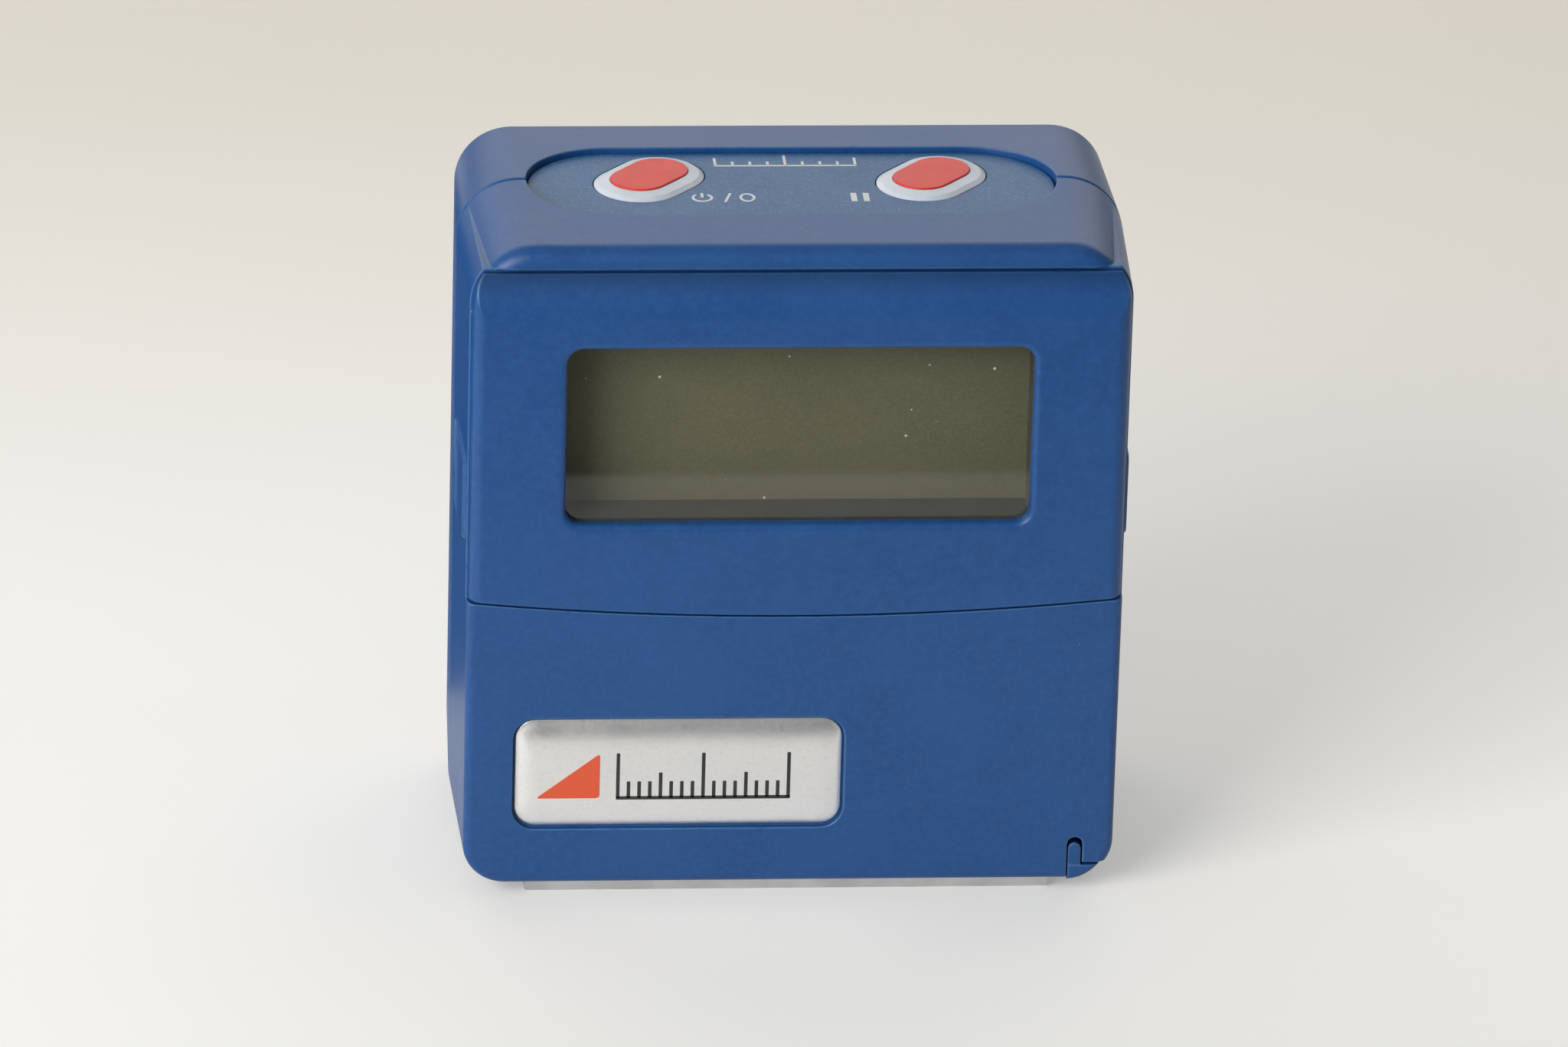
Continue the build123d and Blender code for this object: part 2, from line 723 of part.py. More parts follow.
# Keys: a white cap with a skirt below the panel and a sloped rim, a red inlay and the switch plunger below
for key, key_spot in key_spots.items():
    key_top = keypad_face_z + key_rise
    inlay_width = key_width - 2 * key_ring
    with BuildPart() as key_cap:
        with BuildSketch(Plane.XY.offset(key_skirt_low)):
            with Locations(key_spot):
                key_outline(key_width + 2 * key_skirt)
        extrude(amount=key_skirt_thickness)
        with BuildSketch(Plane.XY.offset(key_skirt_top)):
            with Locations(key_spot):
                key_outline(key_width)
        extrude(amount=keypad_face_z - key_skirt_top)
        with BuildSketch(Plane.XY.offset(keypad_face_z)):
            with Locations(key_spot):
                key_outline(key_width)
        with BuildSketch(Plane.XY.offset(keypad_face_z + key_shoulder_rise)):
            with Locations(key_spot):
                key_outline(key_width - 2 * key_shoulder)
        with BuildSketch(Plane.XY.offset(key_top)):
            with Locations(key_spot):
                key_outline(inlay_width)
        loft(ruled=True)
        with BuildSketch(Plane.XY.offset(key_top)):
            with Locations(key_spot):
                key_outline(inlay_width - 2 * inlay_gap)
        extrude(amount=-inlay_depth, mode=Mode.SUBTRACT)
    save(key_cap, f"{key}_key")

    with BuildPart() as key_inlay:
        with BuildSketch(Plane.XY.offset(key_top - inlay_depth)):
            with Locations(key_spot):
                key_outline(inlay_width - 4 * inlay_gap)
        extrude(amount=inlay_depth + inlay_proud)
        fillet(key_inlay.faces().sort_by(Axis.Z)[-1].edges(), inlay_round)
    save(key_inlay, f"{key}_key_inlay")

    with BuildPart() as switch_plunger:
        with BuildSketch(Plane.XY.offset(plunger_low)):
            with Locations(key_spot):
                Circle(plunger_radius)
        extrude(amount=plunger_length)
    save(switch_plunger, f"{key}_switch_plunger")

# Keypad board and its switches
with BuildPart() as keypad_board:
    with BuildSketch(Plane.XY.offset(keypad_board_low)):
        with Locations((0, parting_y)):
            Rectangle(keypad_board_width, keypad_board_depth)
    extrude(amount=board_thickness)
save(keypad_board, "keypad_board")

with BuildPart() as switch_bodies:
    with BuildSketch(Plane.XY.offset(switch_low)):
        with Locations(*key_spots.values()):
            RectangleRounded(switch_size, switch_size, switch_corner)
    extrude(amount=switch_top - switch_low)
    with BuildSketch(Plane.XY.offset(switch_low + switch_floor)):
        with Locations(*key_spots.values()):
            Circle(plunger_radius + switch_bore_gap)
    extrude(amount=switch_top - switch_low - switch_floor, mode=Mode.SUBTRACT)
save(switch_bodies, "switch_bodies")

# Connector from the main board up to the keypad board
with BuildPart() as keypad_header:
    with BuildSketch(Plane.XY.offset(keypad_board_low)):
        with Locations((0, board_back_y)):
            Rectangle(header_width, header_size, align=(Align.CENTER, Align.MIN))
    extrude(amount=-header_size)
save(keypad_header, "keypad_header")

# Label plate, bare
with BuildPart() as label_plate:
    with BuildSketch(front_plane(lower_face_y + label_recess)):
        with Locations((label_x, label_z)):
            RectangleRounded(label_width, label_height, label_corner)
        offset(amount=-label_gap)
    extrude(amount=label_thickness)
    fillet(label_plate.faces().sort_by(Axis.Y)[0].edges(), label_round)
save(label_plate, "label_plate")

# Base bar: an extruded section whose side grooves take the lips of both shells
with BuildPart() as base_bar:
    with BuildSketch(Plane.YZ):
        for half, low, high in (
            (bar_half_depth, 0, bar_slab_top),
            (bar_neck_half, bar_slab_top, bar_flange_z),
            (bar_flange_half, bar_flange_z, bar_top),
        ):
            with Locations((0, (low + high) / 2)):
                Rectangle(2 * half, high - low)
    extrude(amount=bar_length / 2, both=True)
    chamfer(base_bar.faces().sort_by(Axis.Z)[0].edges(), bar_chamfer)
    with Locations(Plane.XY.rotated((180, 0, 0))):
        with GridLocations(magnet_pitch, 0, magnet_count, 1):
            Hole(magnet_diameter / 2 + fit, depth=magnet_thickness + magnet_sink)
save(base_bar, "base_bar")

with BuildPart() as base_magnets:
    with BuildSketch(Plane.XY.offset(magnet_sink)):
        with GridLocations(magnet_pitch, 0, magnet_count, 1):
            Circle(magnet_diameter / 2)
    extrude(amount=magnet_thickness)
    chamfer(base_magnets.faces().group_by(Axis.Z)[0].edges(), bar_chamfer)
save(base_magnets, "base_magnets")

# Battery with its snap terminals towards the contact holder
with BuildPart() as battery_case:
    with BuildSketch(Plane.YZ.offset(battery_left)):
        with Locations((bay_y, battery_z)):
            RectangleRounded(battery_width, battery_height, battery_corner)
    extrude(amount=battery_length)
    chamfer(battery_case.faces().filter_by(Axis.X).edges(), battery_end_chamfer)
save(battery_case, "battery_case")

with BuildPart() as battery_terminals:
    with BuildSketch(Plane.YZ.offset(battery_left)):
        with Locations((bay_y - terminal_pitch / 2, battery_z)):
            Circle(stud_radius)
        with Locations((bay_y + terminal_pitch / 2, battery_z)):
            Circle(socket_radius)
            Circle(socket_bore, mode=Mode.SUBTRACT)
    extrude(amount=-terminal_height)
save(battery_terminals, "battery_terminals")

with BuildPart() as contact_holder:
    with BuildSketch(Plane.YZ.offset(holder_left)):
        with Locations((bay_y, (holder_low + holder_top) / 2)):
            Rectangle(rear_inner_y - lower_inner_y - 2 * fit, holder_top - holder_low)
    extrude(amount=holder_thickness)
save(contact_holder, "contact_holder")

# Contacts: a cup round the battery's stud and a stud in the battery's socket
with BuildPart() as battery_contacts:
    with BuildSketch(Plane.YZ.offset(holder_right)):
        with Locations((bay_y - terminal_pitch / 2, battery_z)):
            Circle(stud_radius + contact_gap + contact_wall)
            Circle(stud_radius + contact_gap, mode=Mode.SUBTRACT)
        with Locations((bay_y + terminal_pitch / 2, battery_z)):
            Circle(socket_bore - contact_gap)
    extrude(amount=contact_height)
save(battery_contacts, "battery_contacts")

# Leads from the contact holder up through the shelf to the main board
for pole, (lead_y, rise) in lead_spots.items():
    with BuildPart() as battery_lead:
        with BuildLine():
            FilletPolyline(
                (holder_x, lead_y, holder_top),
                (holder_x, lead_y, holder_top + rise),
                (holder_x, board_back_y, holder_top + rise),
                radius=lead_bend,
            )
        with BuildSketch(Plane.XY.offset(holder_top)):
            with Locations((holder_x, lead_y)):
                Circle(lead_radius)
        sweep()
    save(battery_lead, f"battery_lead_{pole}")

# Battery door: a plate with tongues on both edges, a foot round the lower corner and an ear in each slot
with BuildPart() as door_form:
    plate_ys = (lower_inner_y + door_gap, rear_inner_y - door_gap)
    tongue_ys = (lower_inner_y - tongue_depth, rear_inner_y + tongue_depth)
    lap_ys = (frame_inner_y + door_gap, rear_inner_y - door_gap)
    plate_zs = (shell_bottom, door_top_z - door_gap)
    box_between((door_inner_x, door_face_x), plate_ys, plate_zs)
    box_between((door_inner_x, door_inner_x + tongue_thickness), tongue_ys, plate_zs)
    foot_zs = (shell_bottom, foot_top_z - door_gap)
    box_between((foot_left_x + door_gap, door_face_x), (front_y, rear_y), foot_zs)
    with Locations((-door_recess, 0, 0)):
        add(body_blank.part, mode=Mode.INTERSECT)
    lap_zs = (door_top_z - lap_root, door_top_z + lap_height)
    box_between((door_inner_x, door_inner_x + lap_thickness), lap_ys, lap_zs)
    for ear_y, ear_reach in (
        (lower_inner_y, lower_inner_y - lower_face_y - ear_setback),
        (rear_inner_y, rear_inner_y - rear_y + ear_setback),
    ):
        with BuildSketch(front_plane(ear_y)):
            with Locations((slot_x, ear_z)):
                Circle(slot_width / 2 - door_gap)
                Rectangle(slot_width - 2 * door_gap, ear_z - ear_low_z, align=(Align.CENTER, Align.MAX))
        extrude(amount=ear_reach)
    rib_z = door_top_z - rib_drop - rib_height / 2 - (rib_count - 1) * rib_pitch / 2
    with BuildSketch(front_plane(parting_y + rib_length / 2)) as rib_profile:
        with Locations((door_face_x + rib_proud, rib_z)):
            with GridLocations(0, rib_pitch, 1, rib_count):
                Rectangle(rib_root + rib_proud, rib_height, align=(Align.MAX, Align.CENTER))
        fillet(rib_profile.vertices().group_by(Axis.X)[-1], rib_round)
    extrude(amount=rib_length)

with BuildPart() as battery_door:
    with Locations((0, 0, -door_drop)):
        add(door_form.part)
save(battery_door, "battery_door")

# Case screws, sunk in the rear shell
with BuildPart() as case_screws:
    with BuildSketch(front_plane(case_seat_y)):
        with Locations(*case_spots):
            Circle(case_screw_radius)
    extrude(amount=case_screw_length)
    with BuildSketch(front_plane(case_seat_y)):
        with Locations(*case_spots):
            Circle(case_head_radius)
    extrude(amount=-case_head_height)
    with BuildSketch(front_plane(case_seat_y + case_head_height)):
        with Locations(*case_spots):
            Rectangle(case_drive_width, drive_slot)
            Rectangle(drive_slot, case_drive_width)
    extrude(amount=drive_depth, mode=Mode.SUBTRACT)
save(case_screws, "case_screws")
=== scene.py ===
import json
import math

import bpy
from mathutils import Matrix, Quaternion, Vector


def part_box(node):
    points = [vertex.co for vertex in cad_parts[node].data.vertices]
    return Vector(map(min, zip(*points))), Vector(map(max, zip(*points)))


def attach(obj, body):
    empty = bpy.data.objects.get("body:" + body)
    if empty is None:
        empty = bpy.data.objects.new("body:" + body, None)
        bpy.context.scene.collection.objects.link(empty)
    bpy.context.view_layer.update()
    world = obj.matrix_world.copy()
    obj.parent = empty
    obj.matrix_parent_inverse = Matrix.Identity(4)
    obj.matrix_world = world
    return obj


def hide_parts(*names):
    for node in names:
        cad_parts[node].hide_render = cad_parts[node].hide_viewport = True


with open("model.json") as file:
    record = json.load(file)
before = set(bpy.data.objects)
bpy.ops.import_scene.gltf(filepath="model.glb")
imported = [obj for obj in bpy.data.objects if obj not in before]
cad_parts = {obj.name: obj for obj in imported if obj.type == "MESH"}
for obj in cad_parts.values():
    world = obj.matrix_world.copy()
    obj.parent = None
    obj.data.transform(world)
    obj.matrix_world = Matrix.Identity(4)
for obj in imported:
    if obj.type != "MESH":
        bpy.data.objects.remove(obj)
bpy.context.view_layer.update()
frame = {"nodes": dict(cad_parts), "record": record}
cadNodes = frame["nodes"]
mm = 0.001
print("frame loaded with", len(cadNodes), "CAD pieces")


class Wire:  # a shader socket that can be used in sums
    def __init__(self, tree, socket=None):
        self.tree = tree
        self.socket = socket

    def node(self, kind, settings=None, sockets=None, out=0):
        made = self.tree.nodes.new(kind)
        for key, value in (settings or {}).items():
            setattr(made, key, value)
        for key, value in (sockets or {}).items():
            if isinstance(value, Wire):
                self.tree.links.new(value.socket, made.inputs[key])
            else:
                made.inputs[key].default_value = value
        return Wire(self.tree, made.outputs[out] if made.outputs else None)

    def maths(self, operation, first, second=0.0):
        return self.node("ShaderNodeMath", {"operation": operation}, {0: first, 1: second})

    def __abs__(self):
        return self.maths("ABSOLUTE", self)

    def __add__(self, other):
        return self.maths("ADD", self, other)

    def __sub__(self, other):
        return self.maths("SUBTRACT", self, other)

    def __rsub__(self, other):
        return self.maths("SUBTRACT", other, self)

    def __mul__(self, other):
        return self.maths("MULTIPLY", self, other)

    def __lt__(self, other):
        return self.maths("LESS_THAN", self, other)

    def __gt__(self, other):
        return self.maths("GREATER_THAN", self, other)

    __radd__ = __add__

    def held(self):  # kept between 0 and 1
        return self.node("ShaderNodeClamp", {}, {"Value": self})

    def between(self, low, high):  # 0 at low, 1 at high, soft in between
        return self.node("ShaderNodeMapRange", {"interpolation_type": "SMOOTHSTEP"},
                         {"Value": self, "From Min": low, "From Max": high})

    def blend(self, first, second):  # self is the share of the second colour
        first, second = (c if isinstance(c, Wire) else (*c, 1) for c in (first, second))
        return self.node("ShaderNodeMix", {"data_type": "RGBA"}, {0: self, 6: first, 7: second}, out=2)


toneSpan = (0.3, 0.7)  # the part of a noise that a tone is spread over
noiseMiddle = 0.5
bevelSamples = 6


def startFinish(name):
    finish = bpy.data.materials.new(name)
    finish.use_nodes = True
    finish.node_tree.nodes.clear()
    tree = Wire(finish.node_tree)
    place = tree.node("ShaderNodeTexCoord", out="Object")
    inMm = tree.node("ShaderNodeVectorMath", {"operation": "SCALE"}, {0: place, "Scale": 1 / mm})
    return finish, inMm  # object coordinates in millimetres


def endFinish(finish, shader):
    shader.node("ShaderNodeOutputMaterial", {}, {"Surface": shader})
    return finish


def noise(place, size, detail=2.0, rough=0.5):  # size is that of a blotch in mm
    return place.node("ShaderNodeTexNoise", {}, {
        "Vector": place, "Scale": 1 / size, "Detail": detail, "Roughness": rough})


def sway(field, amount):  # a noise swung about its middle
    return (field - noiseMiddle) * amount


def stretched(place, along):  # draws the pattern out along an axis whose value is under 1
    return place.node("ShaderNodeVectorMath", {"operation": "MULTIPLY"}, {0: place, 1: along})


def alongAxis(place, axis):
    return place.node("ShaderNodeSeparateXYZ", {}, {0: place}, out=axis)


def likeness(first, second):  # of two directions: 1 where they agree
    return first.node("ShaderNodeVectorMath", {"operation": "DOT_PRODUCT"}, {0: first, 1: second}, out=1)


def specks(place, look):  # sparse dots of dust, as a mask
    settings = {"feature": "F1", "distance": "EUCLIDEAN"}
    sockets = {"Vector": place, "Scale": 1 / look["spacing"], "Randomness": 1}
    near = place.node("ShaderNodeTexVoronoi", settings, sockets, out="Distance")
    draw = place.node("ShaderNodeTexVoronoi", settings, sockets, out="Color")
    pick = place.node("ShaderNodeSeparateColor", {}, {0: draw})
    reach = pick * look["radius"] * (1 / look["spacing"])
    return (near < reach) * (pick > 1 - look["share"])


def softEdge(place, radius):  # the normal with its sharp edges rounded off
    return place.node("ShaderNodeBevel", {"samples": bevelSamples}, {"Radius": radius * mm})


def edgeMask(place, rounded):  # grows where an edge turns away
    facing = place.node("ShaderNodeNewGeometry", out="Normal")
    return 1 - likeness(rounded, facing)


def bump(height, depth, normal=None):  # depth in mm
    sockets = {"Height": height, "Distance": depth * mm, "Strength": 1}
    if normal is not None:
        sockets["Normal"] = normal
    return height.node("ShaderNodeBump", {}, sockets)


dust = {"spacing": 5.0, "radius": 0.14, "share": 0.9, "colour": (0.30, 0.40, 0.52),
        "on plastic": 0.8, "on film": 0.6}


def bluePlastic(name, look):
    finish, place = startFinish(name)
    rounded = softEdge(place, look["edge"])
    grain = noise(place, **look["grain"])
    cloud = noise(place, **look["cloud"])
    rub = noise(stretched(place, look["rub along"]), **look["rub"])
    paint = cloud.between(*toneSpan).blend(look["dark"], look["light"])
    paint = (grain.between(*look["fleck span"]) * look["fleck"]).blend(paint, look["pale"])
    mottle = noise(place, **look["mottle"]).between(*look["mottle span"])
    paint = (mottle * look["mottle share"]).blend(paint, look["pale"])
    # edges are lightened towards the paler blue: a painted highlight along fillets and seams, also read as
    # wear
    turned = edgeMask(place, rounded).between(*look["wear span"])
    paint = (turned * look["wear_and_highlight"] * rub.between(*look["wear rub"])).blend(paint, look["worn_and_highlight"])
    proud = abs(alongAxis(place, "X")).between(*look["proud"])  # the pads and the seam lightened: painted highlight on the widest parts, also standing for rubbing by hands
    paint = (proud * rub.between(*look["proud rub"]) * look["rubbed_and_highlight"]).blend(paint, look["worn_and_highlight"])
    if "grime_and_painted_shade" in look:  # painted shade below the groove over the bezel, darkest at the shoulder's lip; it stands for the lip's shadow
        grime_and_painted_shade = look["grime_and_painted_shade"]
        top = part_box("display_bezel")[1].z / mm
        near = alongAxis(place, "Z").between(top - grime_and_painted_shade["below"], top + grime_and_painted_shade["above"])
        paint = (near * grime_and_painted_shade["share"]).blend(paint, grime_and_painted_shade["colour"])
    paint = (specks(place, dust) * dust["on plastic"]).blend(paint, dust["colour"])
    rough = look["rough"] + sway(cloud, look["cloud rough"]) + sway(grain, look["grain rough"])
    shader = place.node("ShaderNodeBsdfPrincipled", {}, {
        "Base Color": paint, "Roughness": rough, "Specular IOR Level": look["shine"],
        "Normal": bump(grain, look["depth"], rounded)})
    return endFinish(finish, shader)


caseLook = {
    "dark": (0.0070, 0.058, 0.206), "light": (0.0090, 0.066, 0.226), "pale": (0.015, 0.084, 0.266),
    # the paler blue of the painted highlights on edges, pads and seam, also read as wear
    "worn_and_highlight": (0.085, 0.215, 0.430),
    "cloud": {"size": 9.0, "detail": 4, "rough": 0.6},
    "grain": {"size": 0.24, "detail": 3}, "fleck span": (0.35, 0.75), "fleck": 0.20,
    "mottle": {"size": 0.7, "detail": 3, "rough": 0.6}, "mottle span": (0.4, 0.7), "mottle share": 0.5,
    "rub": {"size": 1.6, "detail": 5, "rough": 0.65}, "rub along": (1, 1, 0.35),
    "edge": 0.30, "wear_and_highlight": 0.85, "wear span": (0.0, 0.16), "wear rub": (0.15, 0.55),
    # the widest parts, the side pads and the seam, get a painted highlight that also stands for rubbing
    "proud": (31.12, 31.30), "proud rub": (0.2, 0.6), "rubbed_and_highlight": 0.65,
    "rough": 0.39, "cloud rough": 0.08, "grain rough": 0.10, "depth": 0.007, "shine": 0.42,
}
bezelLook = dict(caseLook, grain={"size": 0.20, "detail": 3}, fleck=0.14, rough=0.36, depth=0.004,
                 # a stronger painted edge highlight on the bezel, also read as wear
                 edge=0.38, wear_and_highlight=1.0, worn_and_highlight=(0.11, 0.28, 0.54),
                 # its entry for the groove is painted shade: a darker navy fading downwards from the
                 # shoulder's lip, standing for the lip's shadow
                 grime_and_painted_shade={"below": 2.4, "above": 0.6, "share": 0.7, "colour": (0.003, 0.024, 0.090)})
casePlastic = bluePlastic("case_blue_moulded", caseLook)
bezelPlastic = bluePlastic("bezel_blue_moulded", bezelLook)
print("blue plastics made")


filmLook = {
    "dark": (0.011, 0.084, 0.228), "light": (0.016, 0.100, 0.258), "tone": {"size": 7, "detail": 3},
    "pebble": {"size": 0.27, "detail": 3, "rough": 0.6}, "fine": {"size": 0.11}, "fine share": 0.3,
    "fleck": (0.075, 0.185, 0.350), "fleck span": (0.5, 0.7), "fleck share": 0.7,
    "rough": 0.42, "fine rough": 0.25, "shine": 0.4, "depth": 0.018, "edge": 0.12,
}


def keypadFilm():
    look = filmLook
    finish, place = startFinish("keypad_film")
    pebble = noise(place, **look["pebble"])
    fine = noise(place, **look["fine"])
    tone = noise(place, **look["tone"])
    paint = tone.between(*toneSpan).blend(look["dark"], look["light"])
    paint = (pebble.between(*look["fleck span"]) * look["fleck share"]).blend(paint, look["fleck"])
    paint = (specks(place, dust) * dust["on film"]).blend(paint, dust["colour"])
    rough = look["rough"] + sway(fine, look["fine rough"])
    relief = pebble + fine * look["fine share"]
    shader = place.node("ShaderNodeBsdfPrincipled", {}, {
        "Base Color": paint, "Roughness": rough, "Specular IOR Level": look["shine"],
        "Normal": bump(relief, look["depth"], softEdge(place, look["edge"]))})
    return endFinish(finish, shader)


keyMake = {
    "tone": {"size": 2.5, "detail": 4, "rough": 0.6}, "fine": {"size": 0.09},
    "smudge": {"size": 1.3, "detail": 5, "rough": 0.7}, "smudge span": (0.35, 0.7), "smudge rough": 0.18,
    "edge": 0.15, "edge share": 0.8, "shine": 0.3, "depth": 0.0015,
}
keyWhiteLook = dict(keyMake, base=(0.63, 0.68, 0.76), shade=(0.57, 0.62, 0.70), grime_and_painted_shade=(0.38, 0.43, 0.52),
                    rough=0.36)
keyRedLook = dict(keyMake, base=(0.71, 0.048, 0.034), shade=(0.65, 0.040, 0.030), grime_and_painted_shade=(0.44, 0.028, 0.022),
                  rough=0.40)


def keyPlastic(name, look):
    finish, place = startFinish(name)
    rounded = softEdge(place, look["edge"])
    tone = noise(place, **look["tone"])
    fine = noise(place, **look["fine"])
    smudge = noise(place, **look["smudge"])
    paint = tone.between(*toneSpan).blend(look["shade"], look["base"])
    turned = (edgeMask(place, rounded) * look["edge share"]).held()
    paint = (turned * smudge.between(*look["smudge span"])).blend(paint, look["grime_and_painted_shade"])
    rough = look["rough"] + sway(smudge, look["smudge rough"])
    shader = place.node("ShaderNodeBsdfPrincipled", {}, {
        "Base Color": paint, "Roughness": rough, "Specular IOR Level": look["shine"],
        "Normal": bump(fine, look["depth"], rounded)})
    return endFinish(finish, shader)


windowLook = {
    "ior": 1.60, "clear": (0.97, 0.98, 0.96, 1), "gloss": (0.9, 0.9, 0.88, 1), "rough": 0.03, "haze": 0.03,
    "smear": {"size": 3.5, "detail": 5, "rough": 0.65}, "smear along": (0.5, 1, 1),
    "lint": {"spacing": 2.6, "radius": 0.15, "share": 0.95}, "lint colour": (0.70, 0.70, 0.66, 1),
    "lint rough": 0.9, "lint cover": 0.7,
}


def clearWindow():
    look = windowLook
    finish, place = startFinish("clear_window")
    inner = place.node("ShaderNodeNewGeometry", out="Backfacing")  # the window's inner face stays clear
    mirror = place.node("ShaderNodeFresnel", {}, {"IOR": look["ior"]}) * (1 - inner)
    smear = noise(stretched(place, look["smear along"]), **look["smear"])
    lint = specks(place, look["lint"])
    clear = place.node("ShaderNodeBsdfTransparent", {}, {"Color": look["clear"]})
    gloss = place.node("ShaderNodeBsdfPrincipled", {}, {
        "Base Color": look["gloss"], "Metallic": 1.0, "Roughness": look["rough"] + smear * look["haze"]})
    film = place.node("ShaderNodeMixShader", {}, {0: mirror, 1: clear, 2: gloss})
    fluff = place.node("ShaderNodeBsdfPrincipled", {}, {
        "Base Color": look["lint colour"], "Roughness": look["lint rough"]})
    whole = place.node("ShaderNodeMixShader", {}, {0: lint * look["lint cover"], 1: film, 2: fluff})
    return endFinish(finish, whole)


displayLook = {
    "ground": (0.138, 0.131, 0.088), "deep": (0.124, 0.118, 0.079), "tone": {"size": 12},
    "speck": (0.172, 0.163, 0.115), "fine": {"size": 0.28}, "speck span": (0.4, 0.7), "speck share": 0.4,
    "rough": 0.42, "fine rough": 0.1, "shine": 0.2,
}


def displayGlass():
    look = displayLook
    finish, place = startFinish("display_glass")
    tone = noise(place, **look["tone"])
    fine = noise(place, **look["fine"])
    paint = tone.between(*toneSpan).blend(look["deep"], look["ground"])
    paint = (fine.between(*look["speck span"]) * look["speck share"]).blend(paint, look["speck"])
    shader = place.node("ShaderNodeBsdfPrincipled", {}, {
        "Base Color": paint, "Roughness": look["rough"] + sway(fine, look["fine rough"]),
        "Specular IOR Level": look["shine"]})
    return endFinish(finish, shader)


metalMake = {"line": {"detail": 4, "rough": 0.6}, "tone": {"detail": 3, "rough": 0.6}, "edge": 0.12,
             "line span": (0.45, 0.8), "line share": 0.3, "line rough": 0.16, "tone rough": 0.1}


def metal(name, look):  # a metal with fine lines along one axis
    finish, place = startFinish(name)
    lines = noise(stretched(place, look["along"]), look["line"], **metalMake["line"])
    tone = noise(place, look["tone"], **metalMake["tone"])
    paint = tone.between(*toneSpan).blend(look["dark"], look["light"])
    streaks = lines.between(*metalMake["line span"]) * metalMake["line share"]
    paint = streaks.blend(paint, look["line colour"])
    rough = look["rough"] + sway(lines, metalMake["line rough"]) + sway(tone, metalMake["tone rough"])
    shader = place.node("ShaderNodeBsdfPrincipled", {}, {
        "Base Color": paint, "Metallic": 1.0, "Roughness": rough,
        "Normal": bump(lines, look["depth"], softEdge(place, metalMake["edge"]))})
    return endFinish(finish, shader)


labelLook = {"dark": (0.95, 0.945, 0.935), "light": (0.985, 0.98, 0.97), "line colour": (0.72, 0.715, 0.705),
             "along": (1, 1, 1), "line": 0.32, "tone": 5.0, "rough": 0.34, "depth": 0.014}
barLook = {"dark": (0.64, 0.64, 0.635), "light": (0.75, 0.75, 0.745), "line colour": (0.54, 0.54, 0.535),
           "along": (0.03, 1, 1), "line": 0.12, "tone": 4.0, "rough": 0.34, "depth": 0.004}
nickelLook = {"dark": (0.66, 0.64, 0.60), "light": (0.74, 0.72, 0.68), "line colour": (0.58, 0.56, 0.53),
              "along": (1, 1, 1), "line": 0.3, "tone": 2.0, "rough": 0.22, "depth": 0.002}
steelLook = {"dark": (0.48, 0.48, 0.49), "light": (0.58, 0.58, 0.59), "line colour": (0.40, 0.40, 0.42),
             "along": (1, 1, 0.1), "line": 0.1, "tone": 1.5, "rough": 0.33, "depth": 0.003}
canLook = dict(steelLook, light=(0.70, 0.70, 0.72), dark=(0.62, 0.62, 0.64), along=(1, 0.1, 1))
contactLook = dict(nickelLook, rough=0.28)
foilLook = dict(canLook, light=(0.72, 0.73, 0.68), dark=(0.66, 0.67, 0.62), rough=0.5)
jacketLook = {"dark": (0.07, 0.07, 0.085), "light": (0.11, 0.11, 0.13), "line colour": (0.16, 0.16, 0.18),
              "along": (0.05, 1, 1), "line": 0.2, "tone": 6.0, "rough": 0.30, "depth": 0.002}

mouldMake = {"tone": {"detail": 4, "rough": 0.6}, "edge": 0.1, "edge share": 0.5, "fine rough": 0.2}


def plainMoulding(name, look):  # the pieces inside: moulded, rubber or board
    finish, place = startFinish(name)
    tone = noise(place, look["tone"], **mouldMake["tone"])
    fine = noise(place, look["grain"])
    rounded = softEdge(place, mouldMake["edge"])
    paint = tone.between(*toneSpan).blend(look["dark"], look["light"])
    turned = (edgeMask(place, rounded) * mouldMake["edge share"]).held()
    paint = turned.blend(paint, look["edge"])
    shader = place.node("ShaderNodeBsdfPrincipled", {}, {
        "Base Color": paint, "Roughness": look["rough"] + sway(fine, mouldMake["fine rough"]),
        "Normal": bump(fine, look["depth"], rounded)})
    return endFinish(finish, shader)


blackLook = {"dark": (0.060, 0.060, 0.058), "light": (0.075, 0.075, 0.072), "edge": (0.12, 0.12, 0.12),
             "tone": 3.0, "grain": 0.2, "rough": 0.5, "depth": 0.006}
chipLook = dict(blackLook, dark=(0.020, 0.020, 0.022), light=(0.032, 0.032, 0.035), rough=0.62, grain=0.1)
rubberLook = {"dark": (0.40, 0.38, 0.40), "light": (0.50, 0.48, 0.50), "edge": (0.55, 0.53, 0.55),
              "tone": 1.0, "grain": 0.15, "rough": 0.7, "depth": 0.004}
boardLook = {"dark": (0.012, 0.085, 0.040), "light": (0.020, 0.120, 0.055), "edge": (0.22, 0.20, 0.10),
             "tone": 2.0, "grain": 0.25, "rough": 0.38, "depth": 0.004}
leadRedLook = {"dark": (0.42, 0.022, 0.020), "light": (0.52, 0.034, 0.028), "edge": (0.58, 0.08, 0.07),
               "tone": 1.5, "grain": 0.12, "rough": 0.45, "depth": 0.002}
leadBlackLook = dict(chipLook, rough=0.45, grain=0.12, depth=0.002)

